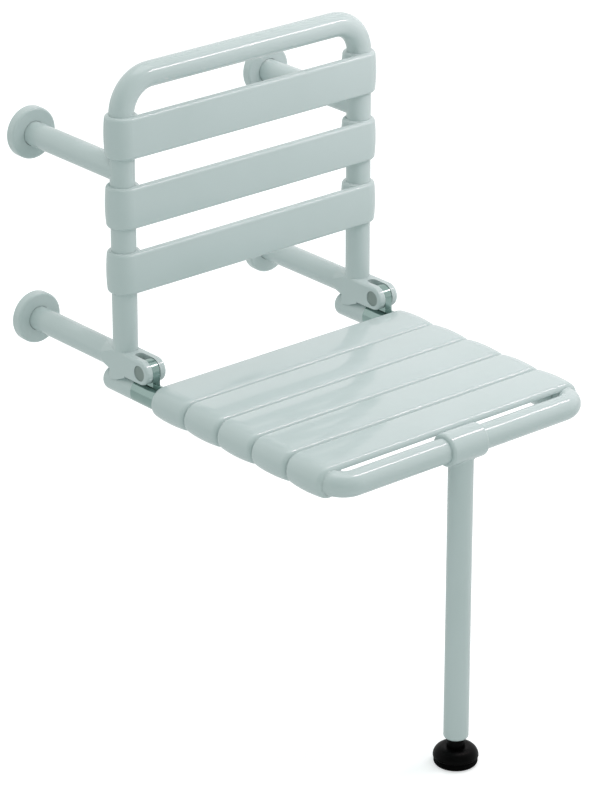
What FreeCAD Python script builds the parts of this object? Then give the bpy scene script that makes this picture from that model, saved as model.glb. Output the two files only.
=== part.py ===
import FreeCAD, Part
import Sketcher
import math
import os
import re

# Fold down wall seat.
# +X runs along the wall to the right, +Y points into the wall, +Z is up.
# The wall is the plane Y = 0 and the origin is the middle of the four wall plates.
# Grey plastic tube covers steel tube everywhere; the seat is shown folded down.

Vector = FreeCAD.Vector
Rotation = FreeCAD.Rotation

document = FreeCAD.newDocument("FoldDownWallSeat")
sheet = document.addObject("Spreadsheet::Sheet", "Sizes")

# Driving sizes in millimetres
SIZES = {
    "tube_radius": (16.5, "outside of every grey tube"),
    "core_radius": (12.0, "outside of the steel tube inside it"),
    "core_wall": (2.0, "wall of the steel tube"),
    "fit": (0.05, "radial clearance of every close fit"),
    "half_spacing": (200.0, "middle of the seat to the tube on each side"),
    "arm_rise": (261.0, "lower arm axis to upper arm axis"),
    "wall_reach": (200.0, "wall to the axis of the uprights"),
    "rail_rise": (120.5, "upper arm axis to the top rail"),
    "rail_bend": (46.0, "bend of the back frame, on the tube axis"),
    "plate_thickness": (6.0, "wall plate"),
    "plate_hole_radius": (3.25, "screw hole in the wall plate"),
    "plate_hole_offset": (18.0, "screw hole, across and up from the plate centre"),
    "rosette_radius": (35.0, "cover of the wall plate"),
    "rosette_depth": (13.0, "cover of the wall plate"),
    "rosette_wall": (2.5, "wall of that cover"),
    "rosette_gap": (0.5, "seam between that cover and the arm"),
    "rosette_round": (3.5, "rounded front edge of that cover"),
    "hinge_reach": (48.5, "axis of the uprights to the seat hinge"),
    "fork_start": (34.0, "axis of the uprights back to where the arm starts to turn square"),
    "fork_flare": (21.0, "growth of the turned down part of the fork"),
    "saddle_reach": (18.0, "axis of the uprights back to the end of the web over the stop cap"),
    "saddle_front": (17.0, "axis of the uprights to where that web runs out"),
    "saddle_depth": (27.5, "arm axis down to the back end of that web"),
    "saddle_knee": (24.0, "arm axis down to that web under the upright"),
    "saddle_round": (6.0, "rounded back corners of that web"),
    "cheek_round": (4.0, "rounded edge of the hinge fork"),
    "slot_start": (24.0, "axis of the uprights to the end of the fork slot"),
    "slot_width": (13.0, "fork slot"),
    "lug_radius": (15.5, "rounded end of the hinge lug"),
    "washer_thickness": (0.6, "hinge washer"),
    "washer_radius": (12.0, "hinge washer"),
    "washer_gap": (0.1, "play beside each hinge washer"),
    "pin_radius": (5.0, "hinge pin"),
    "bush_wall": (2.0, "bush in the hinge lug"),
    "cap_radius": (10.5, "recess for the cap over the hinge pin"),
    "cap_recess": (3.2, "depth of that recess"),
    "cap_thickness": (2.2, "cap over the hinge pin"),
    "cap_bevel": (0.5, "edge of that cap"),
    "stop_gap": (0.3, "gap between the arm and the stop cap under it"),
    "stop_reach": (34.0, "axis of the uprights back to the end of the stop cap"),
    "stop_round": (9.0, "rounded end of the stop cap"),
    "block_start": (29.0, "axis of the uprights to the polished hinge block"),
    "spigot_length": (38.0, "hinge block inside the tubes at both its ends"),
    "slat_start": (75.3, "axis of the uprights to the first seat slat"),
    "front_reach": (428.3, "axis of the uprights to the front tube"),
    "front_room": (16.8, "front tube axis back to the edge of the front slat"),
    "corner_bend": (23.0, "front corner of the seat tube, on its axis"),
    "sleeve_radius": (23.3, "outside of a slat where it wraps its tube"),
    "slat_thickness": (9.5, "slat between its sleeves"),
    "crown_radius": (242.0, "curve of a slat across its width"),
    "slat_round": (5.0, "rounded edges of a slat"),
    "slat_edge": (1.8, "rounded lower edges of a slat"),
    "seat_slat_gap": (0.8, "joint between two seat slats"),
    "back_slat_width": (57.0, "back slat, bottom to top"),
    "low_slat_rise": (125.0, "lower arm axis to the middle of the low back slat"),
    "middle_slat_rise": (214.3, "lower arm axis to the middle of the next back slat"),
    "top_slat_rise": (308.7, "lower arm axis to the middle of the top back slat"),
    "collar_radius": (22.2, "leg collar on the front tube"),
    "collar_length": (60.0, "leg collar"),
    "collar_round": (4.0, "rounded ends of the leg collar"),
    "collar_root": (4.0, "hollow corner between the collar and the leg"),
    "collar_socket": (4.4, "depth of the leg core inside the collar"),
    "leg_swing": (70.0, "swing of the leg towards the wall, in degrees"),
    "swing_play": (11.5, "half the stop pin and its play in the groove, in degrees"),
    "swing_pin_radius": (3.0, "pin that stops the swing"),
    "swing_pin_reach": (19.5, "front tube axis to the end of that pin"),
    "swing_pin_play": (0.3, "play beside and above that pin in its groove"),
    "leg_length": (416.2, "front tube axis to the lower end of the leg tube"),
    "leg_round": (4.0, "rounded lower end of the leg tube"),
    "insert_length": (45.0, "threaded insert in the leg"),
    "thread_radius": (8.0, "threaded stem of the foot"),
    "stem_length": (55.0, "threaded stem above the foot"),
    "foot_gap": (0.3, "leg end to the foot when it is screwed right in"),
    "neck_radius": (12.3, "neck of the foot"),
    "neck_height": (12.2, "neck of the foot"),
    "dome_radius": (30.0, "dome of the foot"),
    "dome_height": (14.5, "dome of the foot"),
    "dome_round": (13.5, "rounded top of the dome"),
    "dome_bevel": (0.8, "lower edge of the dome"),
    "pad_gap": (0.3, "joint between the dome and the pad under it"),
    "pad_radius": (29.0, "rubber pad"),
    "pad_height": (10.2, "rubber pad"),
    "pad_round": (4.5, "rounded lower edge of the rubber pad"),
    "pivot_radius": (5.0, "pin between dome and pad"),
    "pivot_depth": (6.0, "that pin inside the dome and inside the pad"),
}
for row, (name, (value, meaning)) in enumerate(SIZES.items(), start=1):
    sheet.set("A%d" % row, meaning)
    sheet.set("B%d" % row, str(value))
    sheet.setAlias("B%d" % row, name)
document.recompute()

# Places worked out from the driving sizes, as formulas
LOWER_ARM = "(-arm_rise / 2)"
UPPER_ARM = "(arm_rise / 2)"
UPRIGHT = "(-wall_reach)"
PIVOT = "(-wall_reach - hinge_reach)"
SEAT_TUBE = "(-arm_rise / 2 - 2 * tube_radius - stop_gap)"
SEAT_START = "(-wall_reach - slat_start)"
SEAT_LENGTH = "(front_reach - slat_start)"
FRAME_HEIGHT = "(arm_rise + rail_rise)"
FRONT_TUBE = "(-wall_reach - front_reach)"
LEG_END = "(%s - leg_length)" % SEAT_TUBE
TUBE_BORE = "(core_radius + fit)"
CORE_BORE = "(core_radius - core_wall)"
SPIGOT = "(core_radius - core_wall - fit)"
LUG_WIDTH = "(slot_width - 2 * washer_thickness - 2 * washer_gap)"
BUSH_RADIUS = "(pin_radius + fit + bush_wall)"

# Turns that carry a piece's own +Z to the direction they are named after
TO_RIGHT = Rotation(Vector(0, 1, 0), 90)
TO_LEFT = Rotation(Vector(0, 1, 0), -90)
TO_WALL = Rotation(Vector(1, 0, 0), -90)
TO_FRONT = Rotation(Vector(1, 0, 0), 90)
UPWARDS = Rotation()
DOWNWARDS = Rotation(Vector(1, 0, 0), 180)

# Five seat slats share the room between the hinge blocks and the front tube
SEAT_SLATS = 5
SLAT_PITCH = "((front_reach - slat_start - front_room + seat_slat_gap) / %d)" % SEAT_SLATS
SEAT_SLAT_WIDTH = "(%s - seat_slat_gap)" % SLAT_PITCH

# Two edges this close count as being in one place
NEAR = 0.001

SIDES = {"left": -1, "right": 1}
LEVELS = {"upper": UPPER_ARM, "lower": LOWER_ARM}

sub_parts = []


def formula(text):
    """Point every size named in the text at its cell of the sheet."""
    def cell(word):
        name = word.group(0)
        return "Sizes." + name if name in SIZES else name
    return re.sub(r"[a-z_]+", cell, text)


def size(text):
    """Present value of a formula."""
    return float(sheet.evalExpression(formula(text)))


def side_x(side):
    return "(%d * half_spacing)" % SIDES[side]


def bind(thing, **formulas):
    for name, text in formulas.items():
        thing.setExpression(name, formula(text))


def put(thing, x, y, z, turn=UPWARDS):
    """Turn a piece and place it at three formulas."""
    thing.Placement = FreeCAD.Placement(Vector(), turn)
    for axis, text in zip("xyz", (x, y, z)):
        thing.setExpression("Placement.Base." + axis, formula(text))
    return thing


def keep(thing, label):
    """Name a finished piece; its file takes the same name."""
    thing.Label = label
    sub_parts.append(thing)


# Simple solids and how they are joined

def rod(radius, length, x, y, z, turn=UPWARDS):
    solid = document.addObject("Part::Cylinder", "Rod")
    bind(solid, Radius=radius, Height=length)
    return put(solid, x, y, z, turn)


def block(width, depth, height, x, y, z):
    solid = document.addObject("Part::Box", "Block")
    bind(solid, Length=width, Width=depth, Height=height)
    return put(solid, x, y, z)


def joined(*solids):
    whole = document.addObject("Part::MultiFuse", "Joined")
    whole.Shapes = list(solids)
    whole.Refine = True
    return whole


def cut(base, *tools):
    result = document.addObject("Part::Cut", "CutOut")
    result.Base = base
    result.Tool = tools[0] if len(tools) == 1 else joined(*tools)
    result.Refine = True
    return result


def rounded(base, radius, wanted):
    """Round the edges of a solid that the test picks."""
    document.recompute()
    value = size(radius)
    result = document.addObject("Part::Fillet", "Rounded")
    result.Base = base
    edges = enumerate(base.Shape.Edges, start=1)
    result.Edges = [(number, value, value) for number, edge in edges if wanted(edge)]
    return result


def is_circle(edge, radius, height):
    """True for a level circle of this radius at this height."""
    if not isinstance(edge.Curve, Part.Circle):
        return False
    same_radius = abs(edge.Curve.Radius - size(radius)) < NEAR
    return same_radius and abs(edge.Curve.Center.z - size(height)) < NEAR


# Bodies drawn as sketches

def new_body():
    return document.addObject("PartDesign::Body", "Piece")


def sketch_on(body, role):
    sketch = body.newObject("Sketcher::SketchObject", "Sketch")
    plane = [plane for plane in body.Origin.OriginFeatures if plane.Role == role][0]
    sketch.AttachmentSupport = [(plane, "")]
    sketch.MapMode = "FlatFace"
    return sketch


def fix(sketch, kind, *where, value):
    """Add one dimension to a sketch and bind it to its formula."""
    number = sketch.addConstraint(Sketcher.Constraint(kind, *where, size(value)))
    sketch.setExpression("Constraints[%d]" % number, formula(value))


def add_circle(sketch, x, y, radius):
    centre = Vector(size(x), size(y), 0)
    number = sketch.addGeometry(Part.Circle(centre, Vector(0, 0, 1), size(radius)), False)
    fix(sketch, "DistanceX", -1, 1, number, 3, value=x)
    fix(sketch, "DistanceY", -1, 1, number, 3, value=y)
    fix(sketch, "Radius", number, value=radius)


def add_outline(sketch, corners):
    """Draw a closed outline through corners, each given as two formulas."""
    places = [Vector(size(x), size(y), 0) for x, y in corners]
    lines = []
    for start, end in zip(places, places[1:] + places[:1]):
        lines.append(sketch.addGeometry(Part.LineSegment(start, end), False))
    for line, following in zip(lines, lines[1:] + lines[:1]):
        sketch.addConstraint(Sketcher.Constraint("Coincident", line, 2, following, 1))
    for line, (x, y) in zip(lines, corners):
        fix(sketch, "DistanceX", -1, 1, line, 1, value=x)
        fix(sketch, "DistanceY", -1, 1, line, 1, value=y)


def pad(body, sketch, length, both_ways=False):
    feature = body.newObject("PartDesign::Pad", "Pad")
    feature.Profile = sketch
    bind(feature, Length=length)
    if both_ways:
        feature.SideType = "Symmetric"


def drill(body, sketch):
    """Cut the circles of a sketch right through the body."""
    feature = body.newObject("PartDesign::Pocket", "Bore")
    feature.Profile = sketch
    feature.Type = "ThroughAll"
    feature.SideType = "Symmetric"


def round_edges(body, radius, wanted):
    """Round the edges of the body so far that the test picks."""
    document.recompute()
    base = body.Tip
    feature = body.newObject("PartDesign::Fillet", "Round")
    edges = enumerate(base.Shape.Edges, start=1)
    feature.Base = (base, ["Edge%d" % number for number, edge in edges if wanted(edge)])
    bind(feature, Radius=radius)


def spin(body, sketch, axis):
    feature = body.newObject("PartDesign::Revolution", "Turned")
    feature.Profile = sketch
    feature.ReferenceAxis = (sketch, [axis])
    feature.Angle = 360


def turned(corners):
    """Make a solid of revolution about its own Z from radius and height corners."""
    body = new_body()
    sketch = sketch_on(body, "XZ_Plane")
    add_outline(sketch, corners)
    spin(body, sketch, "V_Axis")
    return body


def ring(outer, inner, length):
    """Make a straight tube along its own Z."""
    body = new_body()
    sketch = sketch_on(body, "XY_Plane")
    add_circle(sketch, "0", "0", outer)
    add_circle(sketch, "0", "0", inner)
    pad(body, sketch, length)
    return body


def bent_tube(outer, inner, height, bend):
    """Make a tube bent to a U in its own XZ plane, open at the bottom; solid if inner is None."""
    body = new_body()
    path = sketch_on(body, "XZ_Plane")
    half, top, radius = size("half_spacing"), size(height), size(bend)
    left_foot, right_foot = Vector(-half, 0, 0), Vector(half, 0, 0)
    left_centre = Vector(radius - half, top - radius, 0)
    right_centre = Vector(half - radius, top - radius, 0)
    sideways, upwards = Vector(radius, 0, 0), Vector(0, radius, 0)
    axis = Vector(0, 0, 1)
    left_circle = Part.Circle(left_centre, axis, radius)
    right_circle = Part.Circle(right_centre, axis, radius)
    shapes = [
        Part.LineSegment(left_foot, left_centre - sideways),
        Part.ArcOfCircle(left_circle, math.pi / 2, math.pi),
        Part.LineSegment(left_centre + upwards, right_centre + upwards),
        Part.ArcOfCircle(right_circle, 0, math.pi / 2),
        Part.LineSegment(right_centre + sideways, right_foot),
    ]
    left, left_bend, across, right_bend, right = [path.addGeometry(s, False) for s in shapes]
    path.addConstraint(Sketcher.Constraint("Tangent", left, 2, left_bend, 2))
    path.addConstraint(Sketcher.Constraint("Tangent", left_bend, 1, across, 1))
    path.addConstraint(Sketcher.Constraint("Tangent", across, 2, right_bend, 2))
    path.addConstraint(Sketcher.Constraint("Tangent", right_bend, 1, right, 1))
    path.addConstraint(Sketcher.Constraint("Vertical", left))
    path.addConstraint(Sketcher.Constraint("Horizontal", across))
    path.addConstraint(Sketcher.Constraint("Vertical", right))
    fix(path, "DistanceX", -1, 1, left, 1, value="-half_spacing")
    fix(path, "DistanceX", -1, 1, right, 2, value="half_spacing")
    fix(path, "DistanceY", -1, 1, left, 1, value="0")
    fix(path, "DistanceY", -1, 1, right, 2, value="0")
    fix(path, "DistanceY", -1, 1, across, 1, value=height)
    fix(path, "Radius", left_bend, value=bend)
    fix(path, "Radius", right_bend, value=bend)
    section = sketch_on(body, "XY_Plane")
    add_circle(section, "-half_spacing", "0", outer)
    if inner:
        add_circle(section, "-half_spacing", "0", inner)
    feature = body.newObject("PartDesign::AdditivePipe", "Bent")
    feature.Profile = section
    feature.Spine = path
    return body


# Wall anchors: a steel plate with four screw holes, and the core of the arm welded to it

def wall_anchor(level, side):
    x, z = side_x(side), LEVELS[level]
    reach = {"upper": "wall_reach", "lower": "wall_reach + core_radius"}[level]
    plate = rod("rosette_radius - rosette_wall - fit", "plate_thickness", x, "0", z, TO_FRONT)
    core = rod("core_radius", reach + " - plate_thickness / 2", x, "-plate_thickness / 2", z, TO_FRONT)
    tools = [rod(CORE_BORE, "2 * wall_reach", x, "-plate_thickness", z, TO_FRONT)]
    for across in (-1, 1):
        for up in (-1, 1):
            hole_x = "%s + %d * plate_hole_offset" % (x, across)
            hole_z = "%s + %d * plate_hole_offset" % (z, up)
            hole = rod("plate_hole_radius", "3 * plate_thickness",
                       hole_x, "plate_thickness", hole_z, TO_FRONT)
            tools.append(hole)
    if level == "upper":
        # This core is shaped to the core of the upright that it meets
        tools.append(rod(TUBE_BORE, "6 * core_radius", x, UPRIGHT, z + " - 3 * core_radius"))
    keep(cut(joined(plate, core), *tools), "wall_anchor_%s_%s" % (level, side))


# Rosettes: shallow round covers that snap over the wall plates

def rosette(level, side):
    body = turned([
        ("tube_radius + rosette_gap", "rosette_depth - rosette_wall"),
        ("tube_radius + rosette_gap", "rosette_depth"),
        ("rosette_radius", "rosette_depth"),
        ("rosette_radius", "0"),
        ("rosette_radius - rosette_wall", "0"),
        ("rosette_radius - rosette_wall", "rosette_depth - rosette_wall"),
    ])
    round_edges(body, "rosette_round", lambda edge: is_circle(edge, "rosette_radius", "rosette_depth"))
    put(body, side_x(side), "0", LEVELS[level], TO_FRONT)
    keep(body, "rosette_%s_%s" % (level, side))


for level in LEVELS:
    for side in SIDES:
        wall_anchor(level, side)
        rosette(level, side)


# Upper arms: grey tube from the wall plate to the upright, shaped to meet it

def upper_arm(side):
    x = side_x(side)
    outside = rod("tube_radius", "wall_reach - plate_thickness", x, "-plate_thickness", UPPER_ARM, TO_FRONT)
    inside = rod(TUBE_BORE, "wall_reach", x, "0", UPPER_ARM, TO_FRONT)
    upright = rod("tube_radius", "4 * tube_radius", x, UPRIGHT, UPPER_ARM + " - 2 * tube_radius")
    keep(cut(outside, inside, upright), "upper_arm_" + side)


# Lower arms: the same tube, turning into a square hinge fork in front of the upright.
# The square bar is rounded along its cheeks, rounded over at its end and turned down
# to the tube where it starts. A web under it lies over the stop cap of the seat.

def fork_head(side):
    x = side_x(side)
    bar = block("2 * tube_radius", "hinge_reach + fork_start", "2 * tube_radius",
                x + " - tube_radius", PIVOT, LOWER_ARM + " - tube_radius")
    end = rod("tube_radius", "2 * tube_radius", x + " - tube_radius", PIVOT, LOWER_ARM, TO_RIGHT)
    middle, half = size(x), size("tube_radius")
    back = size(UPRIGHT + " + fork_start")

    def along_cheek(edge):
        box = edge.BoundBox
        on_cheek = box.XLength < NEAR and abs(abs(box.XMin - middle) - half) < NEAR
        return on_cheek and box.YMin < back - NEAR

    head = rounded(joined(bar, end), "cheek_round", along_cheek)
    turned_down = document.addObject("Part::Cone", "TurnedDown")
    bind(turned_down, Radius1="tube_radius", Radius2="tube_radius + fork_flare",
         Height="hinge_reach + tube_radius + fork_start")
    put(turned_down, x, UPRIGHT + " + fork_start", LOWER_ARM, TO_FRONT)
    shaped = document.addObject("Part::MultiCommon", "ForkHead")
    shaped.Shapes = [head, turned_down]
    return shaped


def stop_saddle(side):
    """Make the web under the arm, hollowed to lie over the stop cap."""
    x = side_x(side)
    body = new_body()
    outline = sketch_on(body, "YZ_Plane")
    add_outline(outline, [
        ("saddle_reach", "0"),
        ("-saddle_front", "0"),
        ("-saddle_front", "-tube_radius"),
        ("0", "-saddle_knee"),
        ("saddle_reach", "-saddle_depth"),
    ])
    pad(body, outline, "2 * tube_radius", both_ways=True)
    back = size("saddle_reach")

    def at_back_corner(edge):
        box = edge.BoundBox
        return box.XLength + box.YLength < NEAR and abs(box.YMin - back) < NEAR

    round_edges(body, "saddle_round", at_back_corner)
    put(body, x, UPRIGHT, LOWER_ARM)
    hollow = rod("tube_radius + 2 * stop_gap", "wall_reach",
                 x, UPRIGHT + " - hinge_reach", SEAT_TUBE, TO_WALL)
    return cut(body, hollow)


def arm_outside(side):
    tube = rod("tube_radius", "wall_reach - plate_thickness",
               side_x(side), "-plate_thickness", LOWER_ARM, TO_FRONT)
    return joined(tube, fork_head(side), stop_saddle(side))


def lower_arm(side, outside):
    x = side_x(side)
    bore = rod(TUBE_BORE, "wall_reach + core_radius + core_wall", x, "0", LOWER_ARM, TO_FRONT)
    upright_hole = rod("core_radius + 3 * fit", "2 * tube_radius", x, UPRIGHT, LOWER_ARM)
    slot_centre = UPRIGHT + " - slot_start - slot_width / 2"
    slot = block("slot_width", "hinge_reach", "4 * tube_radius", x + " - slot_width / 2",
                 slot_centre + " - hinge_reach", LOWER_ARM + " - 2 * tube_radius")
    slot_end = rod("slot_width / 2", "4 * tube_radius", x, slot_centre, LOWER_ARM + " - 2 * tube_radius")
    cheek = x + " - tube_radius"
    pin_hole = rod("pin_radius + fit", "2 * tube_radius", cheek, PIVOT, LOWER_ARM, TO_RIGHT)
    left_recess = rod("cap_radius", "cap_recess", cheek, PIVOT, LOWER_ARM, TO_RIGHT)
    right_recess = rod("cap_radius", "cap_recess", x + " + tube_radius", PIVOT, LOWER_ARM, TO_LEFT)
    tools = [bore, upright_hole, slot, slot_end, pin_hole, left_recess, right_recess]
    keep(cut(outside, *tools), "lower_arm_" + side)


# Back frame: a grey tube bent over the steel tube inside it. Its lower ends are
# shaped to stand on the lower arms.

arms_outside = [arm_outside(side) for side in SIDES]
for side, outside in zip(SIDES, arms_outside):
    upper_arm(side)
    lower_arm(side, outside)

bent_frame = put(bent_tube("tube_radius", TUBE_BORE, FRAME_HEIGHT, "rail_bend"), "0", UPRIGHT, LOWER_ARM)
joints = [rod(TUBE_BORE, "wall_reach", side_x(side), UPRIGHT, UPPER_ARM, TO_WALL) for side in SIDES]
keep(cut(bent_frame, *arms_outside, *joints), "back_tube")

bent_core = put(bent_tube("core_radius", CORE_BORE, FRAME_HEIGHT, "rail_bend"), "0", UPRIGHT, LOWER_ARM)
arm_cores = [rod(TUBE_BORE, "wall_reach", side_x(side), "-wall_reach / 2 - wall_reach", LOWER_ARM, TO_WALL)
             for side in SIDES]
keep(cut(bent_core, *arm_cores), "back_core")


# Slats: a crowned board that ends in a sleeve of the same outline round the tube on
# each side. Its own X runs across the seat, its own Z points out of the face in use.

def add_slat_section(sketch, width, base):
    """Draw the section of a slat: sides up from the base, round corners and a crowned top."""
    half, low = size(width) / 2, size(base)
    crown, corner = size("crown_radius"), size("slat_round")
    crown_centre = Vector(0, size("sleeve_radius") - crown, 0)
    reach = half - corner
    lean = math.asin(reach / (crown - corner))
    shoulder = crown_centre.y + (crown - corner) * math.cos(lean)
    axis = Vector(0, 0, 1)
    right_circle = Part.Circle(Vector(reach, shoulder, 0), axis, corner)
    crown_circle = Part.Circle(crown_centre, axis, crown)
    left_circle = Part.Circle(Vector(-reach, shoulder, 0), axis, corner)
    shapes = [
        Part.LineSegment(Vector(-half, low, 0), Vector(half, low, 0)),
        Part.LineSegment(Vector(half, low, 0), Vector(half, shoulder, 0)),
        Part.ArcOfCircle(right_circle, 0, math.pi / 2 - lean),
        Part.ArcOfCircle(crown_circle, math.pi / 2 - lean, math.pi / 2 + lean),
        Part.ArcOfCircle(left_circle, math.pi / 2 + lean, math.pi),
        Part.LineSegment(Vector(-half, shoulder, 0), Vector(-half, low, 0)),
    ]
    lines = [sketch.addGeometry(shape, False) for shape in shapes]
    base_line, right, right_corner, top, left_corner, left = lines
    sketch.addConstraint(Sketcher.Constraint("Coincident", base_line, 2, right, 1))
    sketch.addConstraint(Sketcher.Constraint("Tangent", right, 2, right_corner, 1))
    sketch.addConstraint(Sketcher.Constraint("Tangent", right_corner, 2, top, 1))
    sketch.addConstraint(Sketcher.Constraint("Tangent", top, 2, left_corner, 1))
    sketch.addConstraint(Sketcher.Constraint("Tangent", left_corner, 2, left, 1))
    sketch.addConstraint(Sketcher.Constraint("Coincident", left, 2, base_line, 1))
    sketch.addConstraint(Sketcher.Constraint("Vertical", right))
    sketch.addConstraint(Sketcher.Constraint("Vertical", left))
    for end, side in ((1, "-"), (2, "")):
        fix(sketch, "DistanceX", -1, 1, base_line, end, value="%s%s / 2" % (side, width))
        fix(sketch, "DistanceY", -1, 1, base_line, end, value=base)
    fix(sketch, "DistanceX", -1, 1, top, 3, value="0")
    fix(sketch, "DistanceY", -1, 1, top, 3, value="sleeve_radius - crown_radius")
    fix(sketch, "Radius", top, value="crown_radius")
    for arc in (right_corner, left_corner):
        fix(sketch, "Radius", arc, value="slat_round")


def slat(width, x, y, z, turn=UPWARDS, bored=True):
    body = new_body()
    board = sketch_on(body, "YZ_Plane")
    underside = "sleeve_radius - slat_thickness"
    add_slat_section(board, width, underside)
    pad(body, board, "2 * half_spacing", both_ways=True)
    lower_height = size(underside)

    def at_lower_edge(edge):
        box = edge.BoundBox
        return box.YLength + box.ZLength < NEAR and abs(box.ZMin - lower_height) < NEAR

    round_edges(body, "slat_edge", at_lower_edge)
    for side in SIDES:
        sleeve = sketch_on(body, "YZ_Plane")
        sleeve.setExpression("AttachmentOffset.Base.z", formula(side_x(side)))
        add_slat_section(sleeve, width, "0")
        spin(body, sleeve, "H_Axis")
    if bored:
        bores = sketch_on(body, "XZ_Plane")
        for side in SIDES:
            add_circle(bores, side_x(side), "0", "tube_radius + fit")
        drill(body, bores)
    return put(body, x, y, z, turn)


for name in ("low", "middle", "top"):
    rise = "%s + %s_slat_rise" % (LOWER_ARM, name)
    keep(slat("back_slat_width", "0", UPRIGHT, rise, TO_FRONT), "back_slat_" + name)

for number in range(SEAT_SLATS):
    reach = "%s - %s / 2 - %d * %s" % (SEAT_START, SEAT_SLAT_WIDTH, number, SLAT_PITCH)
    in_front = number == SEAT_SLATS - 1
    seat_slat = slat(SEAT_SLAT_WIDTH, "0", reach, SEAT_TUBE, bored=not in_front)
    if in_front:
        # The sleeves of the front slat reach over the start of the corner bends
        bend_room = bent_tube("tube_radius + fit", None, SEAT_LENGTH, "corner_bend")
        seat_slat = cut(seat_slat, put(bend_room, "0", SEAT_START, SEAT_TUBE, TO_FRONT))
    keep(seat_slat, "seat_slat_%d" % (number + 1))


# Seat tube: grey tube with a steel core, bent to a U that is open towards the wall.
# A hole at the middle of the front takes the pin that stops the leg.

SEAT_TUBES = {"seat_tube": ("tube_radius", TUBE_BORE), "seat_core": ("core_radius", CORE_BORE)}
for label, (outer, inner) in SEAT_TUBES.items():
    bent = put(bent_tube(outer, inner, SEAT_LENGTH, "corner_bend"), "0", SEAT_START, SEAT_TUBE, TO_FRONT)
    pin_hole = rod("swing_pin_radius + fit", "2 * tube_radius", "0", FRONT_TUBE, SEAT_TUBE)
    keep(cut(bent, pin_hole), label)


# Hinge blocks: polished bars in line with the seat tubes, each with a round-topped
# lug that stands up into the fork of the lower arm

def hinge_block(side):
    x = side_x(side)
    bar = rod("tube_radius", "slat_start - block_start", x, UPRIGHT + " - block_start", SEAT_TUBE, TO_FRONT)
    front_spigot = rod(SPIGOT, "slat_start - block_start + spigot_length",
                       x, UPRIGHT + " - block_start", SEAT_TUBE, TO_FRONT)
    back_spigot = rod("core_radius", "spigot_length + slat_start - block_start",
                      x, UPRIGHT + " - block_start + spigot_length", SEAT_TUBE, TO_FRONT)
    lug_side = "%s - %s / 2" % (x, LUG_WIDTH)
    lug = block(LUG_WIDTH, "2 * lug_radius", "2 * tube_radius + stop_gap",
                lug_side, PIVOT + " - lug_radius", SEAT_TUBE)
    lug_top = rod("lug_radius", LUG_WIDTH, lug_side, PIVOT, LOWER_ARM, TO_RIGHT)
    bush_hole = rod(BUSH_RADIUS + " + fit", "slot_width",
                    x + " - slot_width / 2", PIVOT, LOWER_ARM, TO_RIGHT)
    keep(cut(joined(bar, front_spigot, back_spigot, lug, lug_top), bush_hole), "hinge_block_" + side)


# Stop caps: grey tube ends behind the hinge that come to rest under the arms

def stop_cap(side):
    length = "stop_reach + block_start"
    body = turned([
        ("0", "spigot_length + fit"),
        (TUBE_BORE, "spigot_length + fit"),
        (TUBE_BORE, "0"),
        ("tube_radius", "0"),
        ("tube_radius", length),
        ("0", length),
    ])
    round_edges(body, "stop_round", lambda edge: is_circle(edge, "tube_radius", length))
    put(body, side_x(side), UPRIGHT + " - block_start", SEAT_TUBE, TO_WALL)
    keep(body, "stop_cap_" + side)


# Small parts of each hinge: pin, bush, two washers and two caps

def hinge_small_parts(side):
    x = side_x(side)
    lug_side = "%s - %s / 2" % (x, LUG_WIDTH)
    pin = rod("pin_radius", "2 * tube_radius - 2 * cap_recess",
              x + " - tube_radius + cap_recess", PIVOT, LOWER_ARM, TO_RIGHT)
    keep(pin, "hinge_pin_" + side)
    bush = ring(BUSH_RADIUS, "pin_radius + fit", LUG_WIDTH)
    keep(put(bush, lug_side, PIVOT, LOWER_ARM, TO_RIGHT), "hinge_bush_" + side)
    for place, direction in (("outer", SIDES[side]), ("inner", -SIDES[side])):
        turn = TO_RIGHT if direction > 0 else TO_LEFT
        washer = ring("washer_radius", "pin_radius + fit", "washer_thickness")
        put(washer, "%s + %d * %s / 2" % (x, direction, LUG_WIDTH), PIVOT, LOWER_ARM, turn)
        keep(washer, "hinge_washer_%s_%s" % (side, place))
        cap = turned([
            ("0", "0"),
            ("cap_radius - fit", "0"),
            ("cap_radius - fit", "cap_thickness - cap_bevel"),
            ("cap_radius - fit - cap_bevel", "cap_thickness"),
            ("0", "cap_thickness"),
        ])
        put(cap, "%s + %d * (tube_radius - cap_recess)" % (x, direction), PIVOT, LOWER_ARM, turn)
        keep(cap, "pin_cap_%s_%s" % (side, place))


for side in SIDES:
    hinge_block(side)
    stop_cap(side)
    hinge_small_parts(side)


# Leg: grey tube moulded in one with the collar that turns on the front tube, over a
# steel tube with a threaded insert for the foot. A pin in the front tube runs in a
# groove inside the collar, which holds it in the middle and ends its swing.

def leg_tube():
    tube = rounded(rod("tube_radius", "leg_length", "0", FRONT_TUBE, LEG_END), "leg_round",
                   lambda edge: is_circle(edge, "tube_radius", LEG_END))
    blank = rod("collar_radius", "collar_length", "-collar_length / 2", FRONT_TUBE, SEAT_TUBE, TO_RIGHT)
    collar = rounded(blank, "collar_round", lambda edge: edge.BoundBox.XLength < NEAR)

    def where_they_meet(edge):
        box = edge.BoundBox
        return min(box.XLength, box.YLength, box.ZLength) > size("collar_root")

    outside = rounded(joined(tube, collar), "collar_root", where_they_meet)
    bore = rod("tube_radius + fit", "2 * collar_length", "-collar_length", FRONT_TUBE, SEAT_TUBE, TO_RIGHT)
    leg_bore = rod(TUBE_BORE, "leg_length - collar_radius + collar_socket", "0", FRONT_TUBE, LEG_END)
    groove = document.addObject("Part::Cylinder", "Groove")
    bind(groove, Angle="leg_swing + 2 * swing_play", Radius="swing_pin_reach + swing_pin_play",
         Height="2 * swing_pin_radius + 2 * swing_pin_play")
    start = Rotation(Vector(1, 0, 0), 180 - size("leg_swing + swing_play"))
    put(groove, "-swing_pin_radius - swing_pin_play", FRONT_TUBE, SEAT_TUBE, start * TO_RIGHT)
    keep(cut(outside, bore, leg_bore, groove), "leg_tube")


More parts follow.
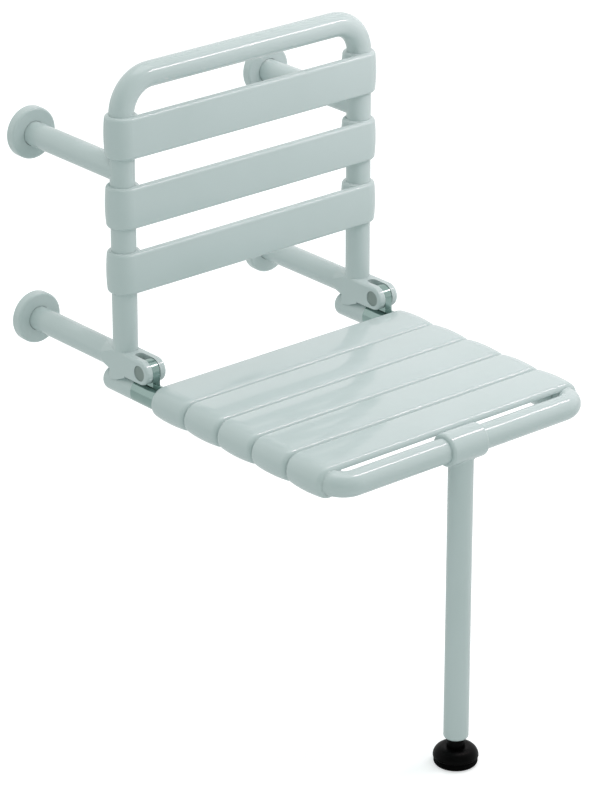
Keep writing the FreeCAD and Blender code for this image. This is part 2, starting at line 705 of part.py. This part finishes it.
leg_tube()
stop_pin = rod("swing_pin_radius", "swing_pin_reach - core_radius + core_wall",
               "0", FRONT_TUBE, "%s + %s" % (SEAT_TUBE, CORE_BORE))
keep(stop_pin, "swing_stop_pin")

leg_core = ring("core_radius", CORE_BORE, "leg_length - collar_radius + collar_socket - fit")
keep(put(leg_core, "0", FRONT_TUBE, LEG_END), "leg_core")
leg_insert = ring(SPIGOT, "thread_radius + fit", "insert_length")
keep(put(leg_insert, "0", FRONT_TUBE, LEG_END), "leg_insert")


# Foot: a domed head with a threaded stem, on a rubber pad that stays still while
# the stem is turned

FOOT_TOP = "(%s - foot_gap)" % LEG_END
DOME_TOP = "(%s - neck_height)" % FOOT_TOP
DOME_BASE = "(%s - dome_height)" % DOME_TOP
PAD_TOP = "(%s - pad_gap)" % DOME_BASE

dome = turned([
    ("0", "pivot_depth"),
    ("pivot_radius + fit", "pivot_depth"),
    ("pivot_radius + fit", "0"),
    ("dome_radius - dome_bevel", "0"),
    ("dome_radius", "dome_bevel"),
    ("dome_radius", "dome_height"),
    ("neck_radius", "dome_height"),
    ("neck_radius", "dome_height + neck_height"),
    ("0", "dome_height + neck_height"),
])
round_edges(dome, "dome_round", lambda edge: is_circle(edge, "dome_radius", "dome_height"))
keep(put(dome, "0", FRONT_TUBE, DOME_BASE), "foot_dome")
keep(rod("thread_radius", "stem_length", "0", FRONT_TUBE, FOOT_TOP), "foot_stem")

foot_pad = turned([
    ("0", "pad_height - pivot_depth"),
    ("pivot_radius + fit", "pad_height - pivot_depth"),
    ("pivot_radius + fit", "pad_height"),
    ("pad_radius", "pad_height"),
    ("pad_radius", "0"),
    ("0", "0"),
])
round_edges(foot_pad, "pad_round", lambda edge: is_circle(edge, "pad_radius", "0"))
keep(put(foot_pad, "0", FRONT_TUBE, PAD_TOP + " - pad_height"), "foot_pad")
foot_pivot = rod("pivot_radius", "2 * pivot_depth + pad_gap - 2 * fit",
                 "0", FRONT_TUBE, PAD_TOP + " - pivot_depth + fit")
keep(foot_pivot, "foot_pivot")


# Check every piece before any file is written

document.recompute()
problems = [thing.Label for thing in document.Objects
            if "Invalid" in thing.State or "Error" in thing.State]
for thing in sub_parts:
    if thing.Shape.isNull() or not thing.Shape.isValid() or thing.Shape.Volume <= 0:
        problems.append(thing.Label)
if problems:
    raise RuntimeError("not sound: " + ", ".join(problems))

os.makedirs("parts", exist_ok=True)
for thing in sub_parts:
    thing.Shape.exportStep("parts/%s.step" % thing.Label)
print(len(sub_parts), "pieces written")
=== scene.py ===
import bpy
import math
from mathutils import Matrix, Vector


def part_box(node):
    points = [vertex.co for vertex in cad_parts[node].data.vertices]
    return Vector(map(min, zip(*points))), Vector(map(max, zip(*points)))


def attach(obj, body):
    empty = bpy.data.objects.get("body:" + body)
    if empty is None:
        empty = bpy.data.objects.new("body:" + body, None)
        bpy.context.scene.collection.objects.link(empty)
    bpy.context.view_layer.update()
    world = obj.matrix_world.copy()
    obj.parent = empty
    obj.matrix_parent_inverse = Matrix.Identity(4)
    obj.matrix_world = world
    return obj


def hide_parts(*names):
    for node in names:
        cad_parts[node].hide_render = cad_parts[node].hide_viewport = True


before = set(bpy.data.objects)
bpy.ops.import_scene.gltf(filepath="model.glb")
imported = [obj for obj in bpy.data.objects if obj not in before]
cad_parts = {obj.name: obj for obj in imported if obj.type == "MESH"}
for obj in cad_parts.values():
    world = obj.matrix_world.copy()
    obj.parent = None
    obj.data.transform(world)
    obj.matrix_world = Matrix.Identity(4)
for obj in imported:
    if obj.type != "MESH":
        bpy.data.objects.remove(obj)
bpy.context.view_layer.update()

# Studio floor: matt white paper under and behind the seat. It glows up to white where
# the camera sees it, and much less where the nylon mirrors it. The seat hangs on a
# wall that the picture leaves out, so there is no wall here.

FLOOR_SIZE = 30
FLOOR_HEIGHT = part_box("foot_pad")[0].z
WHITE = "#FFFFFF"
PAPER_COLOUR = "#E2E6E6"
PAPER_GLOW = 0.45
PAPER_GLOW_MIRRORED = 0.06


def linear(colour):
    """An sRGB hex colour as the linear red, green, blue and alpha of a shader."""
    parts = [int(colour[start:start + 2], 16) / 255 for start in (1, 3, 5)]
    levels = [part / 12.92 if part <= 0.04045 else ((part + 0.055) / 1.055) ** 2.4
              for part in parts]
    return (*levels, 1.0)


def add(tree, kind, links=None, **settings):
    """Add a node; links maps its inputs to a value or to another node's output."""
    node = tree.nodes.new(kind)
    for name, value in settings.items():
        setattr(node, name, value)
    for name, value in (links or {}).items():
        if isinstance(value, bpy.types.NodeSocket):
            tree.links.new(value, node.inputs[name])
        else:
            node.inputs[name].default_value = value
    return node


def new_material(name):
    """An empty material and its node tree."""
    material = bpy.data.materials.new(name)
    material.use_nodes = True
    material.node_tree.nodes.clear()
    return material, material.node_tree


def shows_backdrop(tree):
    """Two outputs: 1 for rays from the camera, mirrors and glass, and 1 for mirrors' alone."""
    seen = add(tree, "ShaderNodeLightPath")
    mirrored = seen.outputs["Is Glossy Ray"]
    direct = add(tree, "ShaderNodeMath", {0: seen.outputs["Is Camera Ray"], 1: mirrored},
                 operation="MAXIMUM")
    shown = add(tree, "ShaderNodeMath",
                {0: direct.outputs[0], 1: seen.outputs["Is Transmission Ray"]},
                operation="MAXIMUM")
    return shown.outputs[0], mirrored


bpy.ops.object.select_all(action="DESELECT")
bpy.ops.mesh.primitive_plane_add(size=FLOOR_SIZE, location=(0, 0, FLOOR_HEIGHT))
floor = bpy.context.object
floor.name = "studio_floor"

sweep, tree = new_material("matt white studio paper")
backdrop, mirrored = shows_backdrop(tree)
paper = add(tree, "ShaderNodeBsdfDiffuse", {"Color": linear(PAPER_COLOUR)})
glow_level = add(tree, "ShaderNodeMapRange", {
    "Value": mirrored, "To Min": PAPER_GLOW, "To Max": PAPER_GLOW_MIRRORED})
glow = add(tree, "ShaderNodeEmission", {
    "Color": linear(WHITE), "Strength": glow_level.outputs["Result"]})
lit = add(tree, "ShaderNodeAddShader", {0: paper.outputs[0], 1: glow.outputs[0]})
shown = add(tree, "ShaderNodeMixShader", {0: backdrop, 1: paper.outputs[0], 2: lit.outputs[0]})
add(tree, "ShaderNodeOutputMaterial", {"Surface": shown.outputs[0]})
floor.data.materials.append(sweep)


# Studio room: white walls all round, dimmer on the camera's side. The nylon and the
# chrome mirror that side, which gives the faces turned to it their depth.

TO_CAMERA = (-0.60, -0.74, 0.31)
DIM_START = 0.1
DIM_END = 0.9
ROOM_LIGHT = 0.9
DIM_ROOM_COLOUR = "#DAE0DE"
DIM_WALL_COLOUR = "#98A2A0"

# A colour Mix node has several sockets of each name, so its two colours and its result
# are given by number
FIRST, SECOND, MIXED = 6, 7, 2

world = bpy.data.worlds.new("white room")
bpy.context.scene.world = world
world.use_nodes = True
world.node_tree.nodes.clear()
tree = world.node_tree
backdrop, mirrored = shows_backdrop(tree)
way = add(tree, "ShaderNodeTexCoord")
facing = add(tree, "ShaderNodeVectorMath", {0: way.outputs["Generated"], 1: TO_CAMERA},
             operation="DOT_PRODUCT")
dim = add(tree, "ShaderNodeMapRange", {
    "Value": facing.outputs["Value"], "From Min": DIM_START, "From Max": DIM_END},
    interpolation_type="SMOOTHSTEP")
dim_mirrored = add(tree, "ShaderNodeMath", {0: dim.outputs["Result"], 1: mirrored},
                   operation="MULTIPLY")
room_colour = add(tree, "ShaderNodeMix", {
    0: dim.outputs["Result"], FIRST: linear(WHITE), SECOND: linear(DIM_ROOM_COLOUR)},
    data_type="RGBA")
wall_colour = add(tree, "ShaderNodeMix", {
    0: dim_mirrored.outputs[0], FIRST: linear(WHITE), SECOND: linear(DIM_WALL_COLOUR)},
    data_type="RGBA")
room = add(tree, "ShaderNodeBackground", {
    "Color": room_colour.outputs[MIXED], "Strength": ROOM_LIGHT})
wall = add(tree, "ShaderNodeBackground", {"Color": wall_colour.outputs[MIXED]})
shown = add(tree, "ShaderNodeMixShader", {0: backdrop, 1: room.outputs[0], 2: wall.outputs[0]})
add(tree, "ShaderNodeOutputWorld", {"Surface": shown.outputs[0]})


# Studio lamps: a large softbox overhead, a narrow one by the front of the seat that
# draws the lines of light along the slats' edges, and a weak fill from the front.
# Each has its place, the point it faces, width and height, watts, and colour.

LAMPS = {
    "overhead softbox": ((0.3, -0.2, 2.8), (0, -0.35, -0.1), (2.4, 1.6), 14, "#FFFAFB"),
    "strip softbox": ((0.65, -0.756, 0.751), (0.65, -0.45, -0.1), (1.0, 0.11), 5, "#FFEAF0"),
    "front fill": ((-1.2, -3.3, 0.9), (0, -0.35, -0.1), (2.2, 2.2), 4, WHITE),
}

for name, (place, aim, (width, height), power, colour) in LAMPS.items():
    bpy.ops.object.light_add(type="AREA", location=place)
    lamp = bpy.context.object
    lamp.name = name
    lamp.rotation_euler = (Vector(aim) - Vector(place)).to_track_quat("-Z", "Y").to_euler()
    lamp.visible_camera = False
    lamp.data.shape = "RECTANGLE"
    lamp.data.size = width
    lamp.data.size_y = height
    lamp.data.energy = power
    lamp.data.color = linear(colour)[:3]


# Camera: a long lens, above the seat and out to its left, as in the photograph. Its
# place and angles in degrees were worked out from edges measured on the picture.

CAMERA_PLACE = (-3.0020, -3.8535, 1.8053)
CAMERA_TURN = 40.308
CAMERA_DIP = 23.436
CAMERA_LENS = 172.41
CAMERA_SENSOR = 36
CAMERA_REACH = 100

bpy.ops.object.camera_add(location=CAMERA_PLACE)
camera = bpy.context.object
camera.rotation_euler = (math.radians(90 - CAMERA_DIP), 0, -math.radians(CAMERA_TURN))
camera.data.sensor_width = CAMERA_SENSOR
camera.data.lens = CAMERA_LENS
camera.data.clip_end = CAMERA_REACH
bpy.context.scene.camera = camera
bpy.context.scene.view_settings.view_transform = "Standard"


# Wall anchors: a round steel plate with the arm's steel core welded to it, zinc plated
# before fixing. The plating looks dull silver, clouded in patches, with a fine grain
# that is drawn at 1.2 mm because the real one is too fine to show.

MM = 0.001
SIDES = ("left", "right")

# A noise seldom leaves this part of its range, so the gloss is spread over it
NOISE_LOW = 0.3
NOISE_HIGH = 0.7


def finish(material, *names):
    """Give a CAD node's whole surface one finish."""
    for name in names:
        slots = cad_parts[name].data.materials
        slots.clear()
        slots.append(material)


def plated_metal(name, colour, shade, roughness, patch_width, grain_width, grain_depth,
                 stretch=(1, 1, 1)):
    """Metal clouded from colour to shade, with a grain in its gloss; sizes in mm."""
    material, tree = new_material(name)
    place = add(tree, "ShaderNodeTexCoord").outputs["Object"]
    along = add(tree, "ShaderNodeMapping", {"Vector": place, "Scale": stretch})
    patches = add(tree, "ShaderNodeTexNoise", {
        "Vector": place, "Scale": 1 / (patch_width * MM), "Detail": 3.0})
    tint = add(tree, "ShaderNodeMix", {
        0: patches.outputs["Fac"], FIRST: linear(colour), SECOND: linear(shade)},
        data_type="RGBA")
    grain = add(tree, "ShaderNodeTexNoise", {
        "Vector": along.outputs[0], "Scale": 1 / (grain_width * MM), "Detail": 3.0})
    gloss = add(tree, "ShaderNodeMapRange", {
        "Value": grain.outputs["Fac"], "From Min": NOISE_LOW, "From Max": NOISE_HIGH,
        "To Min": roughness * 0.7, "To Max": roughness * 1.4})
    bump = add(tree, "ShaderNodeBump", {
        "Height": grain.outputs["Fac"], "Strength": 0.15, "Distance": grain_depth * MM})
    surface = add(tree, "ShaderNodeBsdfPrincipled", {
        "Base Color": tint.outputs[MIXED], "Metallic": 1.0,
        "Roughness": gloss.outputs["Result"], "Normal": bump.outputs["Normal"]})
    add(tree, "ShaderNodeOutputMaterial", {"Surface": surface.outputs[0]})
    return material


zinc = plated_metal("zinc plated steel", "#B4B8B6", "#9EA3A1", roughness=0.38,
                    patch_width=6, grain_width=1.2, grain_depth=0.05)
for side in SIDES:
    finish(zinc, "wall_anchor_upper_" + side, "wall_anchor_lower_" + side)


# Rosettes: round nylon covers pushed over the anchors' plates. This nylon is dyed in
# the mass and moulded in polished tools, which gives it a deep gloss over a faint
# orange peel, and a colour that drifts a little along each moulding.

DRIFT_WIDTH = 90
HANDLING_WIDTH = 20
PEEL_WIDTH = 2.2
PEEL_DEPTH = 0.2
PLASTIC_IOR = 1.53


def smooth_plastic(name, colour, shade, roughness):
    """Plastic that drifts from colour to shade, gloss uneven from handling."""
    material, tree = new_material(name)
    place = add(tree, "ShaderNodeTexCoord").outputs["Object"]
    drift = add(tree, "ShaderNodeTexNoise", {
        "Vector": place, "Scale": 1 / (DRIFT_WIDTH * MM), "Detail": 2.0})
    tint = add(tree, "ShaderNodeMix", {
        0: drift.outputs["Fac"], FIRST: linear(colour), SECOND: linear(shade)},
        data_type="RGBA")
    handling = add(tree, "ShaderNodeTexNoise", {
        "Vector": place, "Scale": 1 / (HANDLING_WIDTH * MM), "Detail": 4.0})
    gloss = add(tree, "ShaderNodeMapRange", {
        "Value": handling.outputs["Fac"], "From Min": NOISE_LOW, "From Max": NOISE_HIGH,
        "To Min": roughness * 0.8, "To Max": roughness * 1.25})
    peel = add(tree, "ShaderNodeTexNoise", {
        "Vector": place, "Scale": 1 / (PEEL_WIDTH * MM), "Detail": 1.0})
    bump = add(tree, "ShaderNodeBump", {
        "Height": peel.outputs["Fac"], "Strength": 0.05, "Distance": PEEL_DEPTH * MM})
    surface = add(tree, "ShaderNodeBsdfPrincipled", {
        "Base Color": tint.outputs[MIXED], "Roughness": gloss.outputs["Result"],
        "Normal": bump.outputs["Normal"], "IOR": PLASTIC_IOR})
    add(tree, "ShaderNodeOutputMaterial", {"Surface": surface.outputs[0]})
    return material


nylon = smooth_plastic("moulded nylon, pale grey-green", "#BDCCCB", "#B7C7C5", roughness=0.1)
for side in SIDES:
    finish(nylon, "rosette_upper_" + side, "rosette_lower_" + side)


# Arms and back frame: the same nylon moulded as a jacket over steel, on the back frame
# a bent tube. The lower arms end in a square slotted fork that holds the seat's hinge.

for side in SIDES:
    finish(nylon, "upper_arm_" + side, "lower_arm_" + side)
finish(nylon, "back_tube")
finish(zinc, "back_core")


# Back slats: three solid nylon mouldings, slightly crowned. Each clamps on the
# uprights with a sleeve at either end.

finish(nylon, "back_slat_low", "back_slat_middle", "back_slat_top")


# Hinge pins: ground and plated steel, one through each fork. Nylon caps in a darker
# grey-green are pressed over their ends, and have a dull face as they came moulded.

cap_nylon = smooth_plastic("moulded nylon, dull grey-green", "#84948F", "#7C8C87",
                           roughness=0.42)
for side in SIDES:
    finish(zinc, "hinge_pin_" + side)
    finish(cap_nylon, "pin_cap_%s_outer" % side, "pin_cap_%s_inner" % side)


# Hinge blocks: steel bars with a round-topped lug, polished and chrome plated. The
# chrome mirrors slats and room, softened by hairlines along the bar from the polishing
# wheel. They are drawn at 0.8 mm because real ones are too fine to show. The chrome's
# colour is partly its own grey and partly a painted reflection: it is made darker and
# tinted grey-green after the nylon and the dim room about it.

chrome = plated_metal("chrome plate on polished steel", "#9AB0AB", "#8CA39E", roughness=0.12,
                      patch_width=30, grain_width=0.8, grain_depth=0.02,
                      stretch=(1, 0.05, 1))
for side in SIDES:
    finish(chrome, "hinge_block_" + side)


# Hinge bushes and washers: dark acetal turned on a lathe, which leaves it smooth and
# half dull. A bush fills each lug on its pin, with a washer on either side.

acetal = smooth_plastic("machined acetal, dark green-grey", "#2A3331", "#252D2B",
                        roughness=0.35)
for side in SIDES:
    finish(acetal, "hinge_bush_" + side)
    finish(acetal, "hinge_washer_%s_outer" % side, "hinge_washer_%s_inner" % side)


# Stop caps: closed ends of nylon tube, pushed on the hinge blocks' back spigots. They
# come to rest under the arms when the seat is down.

for side in SIDES:
    finish(nylon, "stop_cap_" + side)


# Seat frame: a steel tube bent to a U, in a jacket of the nylon. A steel pin in the
# front tube stops the leg both ways.

finish(nylon, "seat_tube")
finish(zinc, "seat_core", "swing_stop_pin")


# Seat slats: five solid nylon mouldings side by side, crowned so that water runs off,
# and clamped on the tubes by sleeves. Light runs in a broad line along their well
# rounded front and back edges. A modifier widens the CAD round to that rounding.

SLAT_COUNT = 5

# The side tubes' axes, and distances out from an axis: the board's underside, and where
# the round of the CAD board and the softer one begin
TUBE_X = 0.2
TUBE_Z = -0.1638
BOARD_UNDERSIDE = 0.0138
ROUND_START = 0.0166
SOFT_ROUND_START = 0.01407
SIDE_SQUEEZE = (SOFT_ROUND_START - BOARD_UNDERSIDE) / (ROUND_START - BOARD_UNDERSIDE)

# The radius of both rounds, how deep from the slat's face their points and its side's
# lie, the narrow edge that stays about a sleeve's mouth, and the leeway in comparing
CAD_ROUND = 0.005
SOFT_ROUND = 0.0078
SWELL = SOFT_ROUND / CAD_ROUND
ROUND_DEPTH = CAD_ROUND * 0.95
FACE_DEPTH = 0.002
SLEEVE_EDGE = 0.00042
HAIR = 0.00005

# How each point of a slat moves. A row names a distance or a yes-or-no (1 or 0), and
# gives the sum that makes it.
SOFTENING = (
    # A sleeve lies below the board's underside or beyond the tubes, the board elsewhere
    ("low", "LESS_THAN", "z", TUBE_Z + BOARD_UNDERSIDE - 2 * HAIR),
    ("from centre", "ABSOLUTE", "x"),
    ("wide", "GREATER_THAN", "from centre", TUBE_X + HAIR),
    ("sleeve", "MAXIMUM", "low", "wide"),
    ("board", "SUBTRACT", 1, "sleeve"),

    # Out: from the tube's axis on a sleeve, and from the height of the axis on the board
    ("side", "SIGN", "x"),
    ("past tube", "MULTIPLY_ADD", "side", -TUBE_X, "x"),
    ("out x", "MULTIPLY", "sleeve", "past tube"),
    ("out z", "SUBTRACT", "z", TUBE_Z),
    ("out x squared", "MULTIPLY", "out x", "out x"),
    ("out squared", "MULTIPLY_ADD", "out z", "out z", "out x squared"),
    ("out", "SQRT", "out squared"),

    # Inward: from the slat's front or back face
    ("from middle", "SUBTRACT", "y", "middle"),
    ("front or back", "SIGN", "from middle"),
    ("distance from middle", "ABSOLUTE", "from middle"),
    ("inward", "SUBTRACT", "half width", "distance from middle"),

    # The parts that move: the board's round, its side under that, and a sleeve's round
    ("at edge", "LESS_THAN", "inward", ROUND_DEPTH),
    ("above side", "GREATER_THAN", "out", ROUND_START + HAIR),
    ("board edge", "MULTIPLY", "board", "at edge"),
    ("board round", "MULTIPLY", "board edge", "above side"),
    ("at face", "LESS_THAN", "inward", FACE_DEPTH),
    ("board face", "MULTIPLY", "board", "at face"),
    ("up to side", "LESS_THAN", "out", ROUND_START + HAIR),
    ("board side", "MULTIPLY", "board face", "up to side"),
    ("around mouth", "GREATER_THAN", "out", ROUND_START - 2 * HAIR),
    ("sleeve edge", "MULTIPLY", "sleeve", "at edge"),
    ("sleeve round", "MULTIPLY", "sleeve edge", "around mouth"),

    # Where each part goes
    ("along round", "SUBTRACT", "out", ROUND_START),
    ("soft out", "MULTIPLY_ADD", "along round", SWELL, SOFT_ROUND_START),
    ("along side", "SUBTRACT", "out", BOARD_UNDERSIDE),
    ("side out", "MULTIPLY_ADD", "along side", SIDE_SQUEEZE, BOARD_UNDERSIDE),
    ("mouth out", "MAXIMUM", "soft out", ROUND_START),
    ("soft inward", "MULTIPLY", "inward", SWELL),
    ("mouth inward", "MAXIMUM", "soft inward", SLEEVE_EDGE),

    # The way out, split into its two directions
    ("round move", "SUBTRACT", "soft out", "out"),
    ("side move", "SUBTRACT", "side out", "out"),
    ("mouth move", "SUBTRACT", "mouth out", "out"),
    ("move on round", "MULTIPLY", "board round", "round move"),
    ("move on board", "MULTIPLY_ADD", "board side", "side move", "move on round"),
    ("move out", "MULTIPLY_ADD", "sleeve round", "mouth move", "move on board"),
    ("stretch", "DIVIDE", "move out", "out"),
    ("shift x", "MULTIPLY", "stretch", "out x"),
    ("shift z", "MULTIPLY", "stretch", "out z"),

    # The way in from the face
    ("round draw", "SUBTRACT", "inward", "soft inward"),
    ("mouth draw", "SUBTRACT", "inward", "mouth inward"),
    ("draw on round", "MULTIPLY", "board round", "round draw"),
    ("draw", "MULTIPLY_ADD", "sleeve round", "mouth draw", "draw on round"),
    ("shift y", "MULTIPLY", "draw", "front or back"),
)


def softer_edges(name, middle, half_width):
    """Widen the round along both edges of a slat, on its board and about its sleeves."""
    tree = bpy.data.node_groups.new(name, "GeometryNodeTree")
    tree.interface.new_socket("Geometry", in_out="INPUT", socket_type="NodeSocketGeometry")
    tree.interface.new_socket("Geometry", in_out="OUTPUT", socket_type="NodeSocketGeometry")
    slat = add(tree, "NodeGroupInput")
    place = add(tree, "GeometryNodeInputPosition")
    parts = add(tree, "ShaderNodeSeparateXYZ", {0: place.outputs[0]})
    found = {"x": parts.outputs[0], "y": parts.outputs[1], "z": parts.outputs[2],
             "middle": middle, "half width": half_width}
    for result, operation, *terms in SOFTENING:
        links = {number: found.get(term, term) for number, term in enumerate(terms)}
        found[result] = add(tree, "ShaderNodeMath", links, operation=operation).outputs[0]
    shift = add(tree, "ShaderNodeCombineXYZ", {
        "X": found["shift x"], "Y": found["shift y"], "Z": found["shift z"]})
    moved = add(tree, "GeometryNodeSetPosition", {
        "Geometry": slat.outputs[0], "Offset": shift.outputs[0]})
    add(tree, "NodeGroupOutput", {"Geometry": moved.outputs[0]})
    return tree


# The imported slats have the 5 mm round. This modifier changes the shape that shows and
# that is exported for those nodes, so the softer round belongs in the part's source.
for number in range(1, SLAT_COUNT + 1):
    name = "seat_slat_%d" % number
    low_corner, high_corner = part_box(name)
    middle = (low_corner.y + high_corner.y) / 2
    half_width = (high_corner.y - low_corner.y) / 2
    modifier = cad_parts[name].modifiers.new("softer edges", "NODES")
    modifier.node_group = softer_edges("softer edges of " + name, middle, half_width)
    finish(nylon, name)


# Leg: nylon tube and collar in one moulding, over a steel tube. A threaded steel insert
# fills the tube's lower end, and the foot screws into it.

finish(nylon, "leg_tube")
finish(zinc, "leg_core", "leg_insert")


# Foot: a black polypropylene dome with a fine spark-eroded grain, moulded on a screw,
# over a moulded rubber pad that is duller and slightly dusty. The grains are drawn at
# 0.7 and 0.9 mm because real ones are too fine to show.

DUST_WIDTH = 12
GRAIN_DEPTH = 0.2
BLACK_IOR = 1.49


def grained_black(name, colour, dust, roughness, grain_width, shine):
    """Black from a grained mould, with patches of dust; the grain's width is in mm."""
    material, tree = new_material(name)
    place = add(tree, "ShaderNodeTexCoord").outputs["Object"]
    grain = add(tree, "ShaderNodeTexNoise", {
        "Vector": place, "Scale": 1 / (grain_width * MM), "Detail": 3.0})
    patches = add(tree, "ShaderNodeTexNoise", {
        "Vector": place, "Scale": 1 / (DUST_WIDTH * MM), "Detail": 4.0})
    tint = add(tree, "ShaderNodeMix", {
        0: patches.outputs["Fac"], FIRST: linear(colour), SECOND: linear(dust)},
        data_type="RGBA")
    gloss = add(tree, "ShaderNodeMapRange", {
        "Value": patches.outputs["Fac"],
        "To Min": roughness * 0.8, "To Max": roughness * 1.2})
    bump = add(tree, "ShaderNodeBump", {
        "Height": grain.outputs["Fac"], "Strength": 0.25, "Distance": GRAIN_DEPTH * MM})
    surface = add(tree, "ShaderNodeBsdfPrincipled", {
        "Base Color": tint.outputs[MIXED], "Roughness": gloss.outputs["Result"],
        "Normal": bump.outputs["Normal"], "IOR": BLACK_IOR, "Specular IOR Level": shine})
    add(tree, "ShaderNodeOutputMaterial", {"Surface": surface.outputs[0]})
    return material


dome_black = grained_black("moulded polypropylene, black", "#020202", "#040404",
                           roughness=0.35, grain_width=0.7, shine=0.06)
pad_black = grained_black("moulded rubber, black", "#020202", "#050505",
                          roughness=0.6, grain_width=0.9, shine=0.03)
finish(dome_black, "foot_dome")
finish(pad_black, "foot_pad")
finish(zinc, "foot_pivot")


# Foot stem: an M16 screw of zinc plated steel with a rolled right-hand thread, 2 mm a
# turn, moulded into the dome. One turn's outline is screwed up and cut off level.

low_corner, high_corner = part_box("foot_stem")
stem_middle = (low_corner + high_corner) / 2
stem_length = high_corner.z - low_corner.z

THREAD_PITCH = 0.002
THREAD_DEPTH = 0.0011
THREAD_FLAT = 0.00025
THREAD_FLANK = THREAD_PITCH / 2 - THREAD_FLAT
THREAD_ROOT = (high_corner.x - low_corner.x) / 2 - THREAD_DEPTH
THREAD_STEPS = 40
SHARP_ANGLE = 25

# The thread starts two turns low and runs past both ends, so that each cut is whole
TURNS_BELOW = 2
SPARE_TURNS = 3

# The steps of one turn's outline: up the root, out to the crest, up it, and back in
THREAD_OUTLINE = ((0, 0, THREAD_FLAT), (THREAD_DEPTH, 0, THREAD_FLANK),
                  (0, 0, THREAD_FLAT), (-THREAD_DEPTH, 0, THREAD_FLANK))

# How near two points are the same: as the turns join, as the ends are cut and at the
# last. Blender's own value for a cut is a tenth of a millimetre, too coarse for a thread.
TURN_MERGE = 0.00001
CUT_MERGE = 0.0000001
LAST_MERGE = 0.000001

bpy.ops.object.select_all(action="DESELECT")
bpy.ops.mesh.primitive_plane_add(size=THREAD_PITCH)
stem = bpy.context.object
stem.name = "foot_stem_threaded"
bpy.ops.object.mode_set(mode="EDIT")
bpy.ops.mesh.select_all(action="SELECT")
bpy.ops.mesh.merge(type="CENTER")
bpy.ops.transform.translate(value=(THREAD_ROOT, 0, -TURNS_BELOW * THREAD_PITCH))
for step in THREAD_OUTLINE:
    bpy.ops.mesh.extrude_region_move(TRANSFORM_OT_translate={"value": step})
bpy.ops.object.mode_set(mode="OBJECT")

screw = stem.modifiers.new("thread", "SCREW")
screw.axis = "Z"
screw.screw_offset = THREAD_PITCH
screw.iterations = math.ceil(stem_length / THREAD_PITCH) + SPARE_TURNS
screw.steps = THREAD_STEPS
screw.render_steps = THREAD_STEPS
screw.use_merge_vertices = True
screw.merge_threshold = TURN_MERGE
bpy.ops.object.modifier_apply(modifier="thread")

bpy.ops.object.mode_set(mode="EDIT")
for height, outwards in ((0, -1), (stem_length, 1)):
    bpy.ops.mesh.select_all(action="SELECT")
    bpy.ops.mesh.bisect(plane_co=(0, 0, height), plane_no=(0, 0, outwards), use_fill=True,
                        clear_outer=True, threshold=CUT_MERGE)
bpy.ops.mesh.select_all(action="SELECT")
bpy.ops.transform.translate(value=(stem_middle.x, stem_middle.y, low_corner.z))
bpy.ops.mesh.remove_doubles(threshold=LAST_MERGE)
bpy.ops.mesh.normals_make_consistent(inside=False)
bpy.ops.object.mode_set(mode="OBJECT")
bpy.ops.object.shade_smooth_by_angle(angle=math.radians(SHARP_ANGLE))
stem.data.materials.append(zinc)
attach(stem, "screw")
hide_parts("foot_stem")
